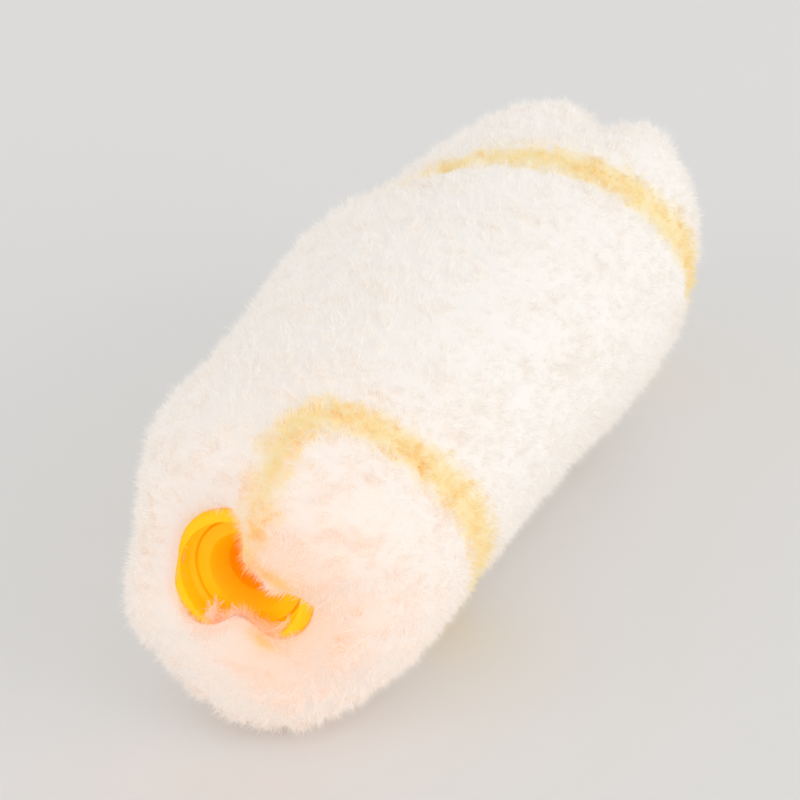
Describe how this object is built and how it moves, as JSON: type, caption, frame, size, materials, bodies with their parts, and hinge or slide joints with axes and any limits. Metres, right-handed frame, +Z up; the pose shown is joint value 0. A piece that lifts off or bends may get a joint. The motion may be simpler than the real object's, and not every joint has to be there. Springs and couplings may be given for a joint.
{
  "type": "plush roller head",
  "caption": "Long-pile plush roller head with a spiral stripe, a domed closed end, and a dished plastic mouth collar that turns on a bearing sleeve.",
  "frame": {"origin": "middle of the plush, on the spin axis", "axes": "+Y along the spin axis, from the open mouth at -Y to the closed dome at +Y; +Z up as the roller lies on a table; the stripe leaves the mouth just right of +Z"},
  "size_m": [0.0378, 0.1, 0.0378],
  "materials": {
    "yellow_plastic": "satin",
    "orange_plastic": "satin",
    "white_plastic": "matte",
    "spring_steel": "satin",
    "backing_knit": "matte",
    "white_plush": "matte",
    "yellow_plush": "matte"
  },
  "bodies": {
    "axle": {"axle_sleeve": "orange_plastic", "retaining_ring": "spring_steel"},
    "roller": {"front_collar": "yellow_plastic", "core_tube": "white_plastic", "rear_plug": "white_plastic", "backing_strip": "backing_knit", "rear_gather": "backing_knit", "white_pile": "white_plush", "stripe_pile": "yellow_plush"}
  },
  "joints": [
    {"name": "roller_spin", "type": "hinge", "parent": "axle", "child": "roller", "pos_m": [0, 0, 0], "axis": [0, 1, 0], "continuous": true}
  ]
}
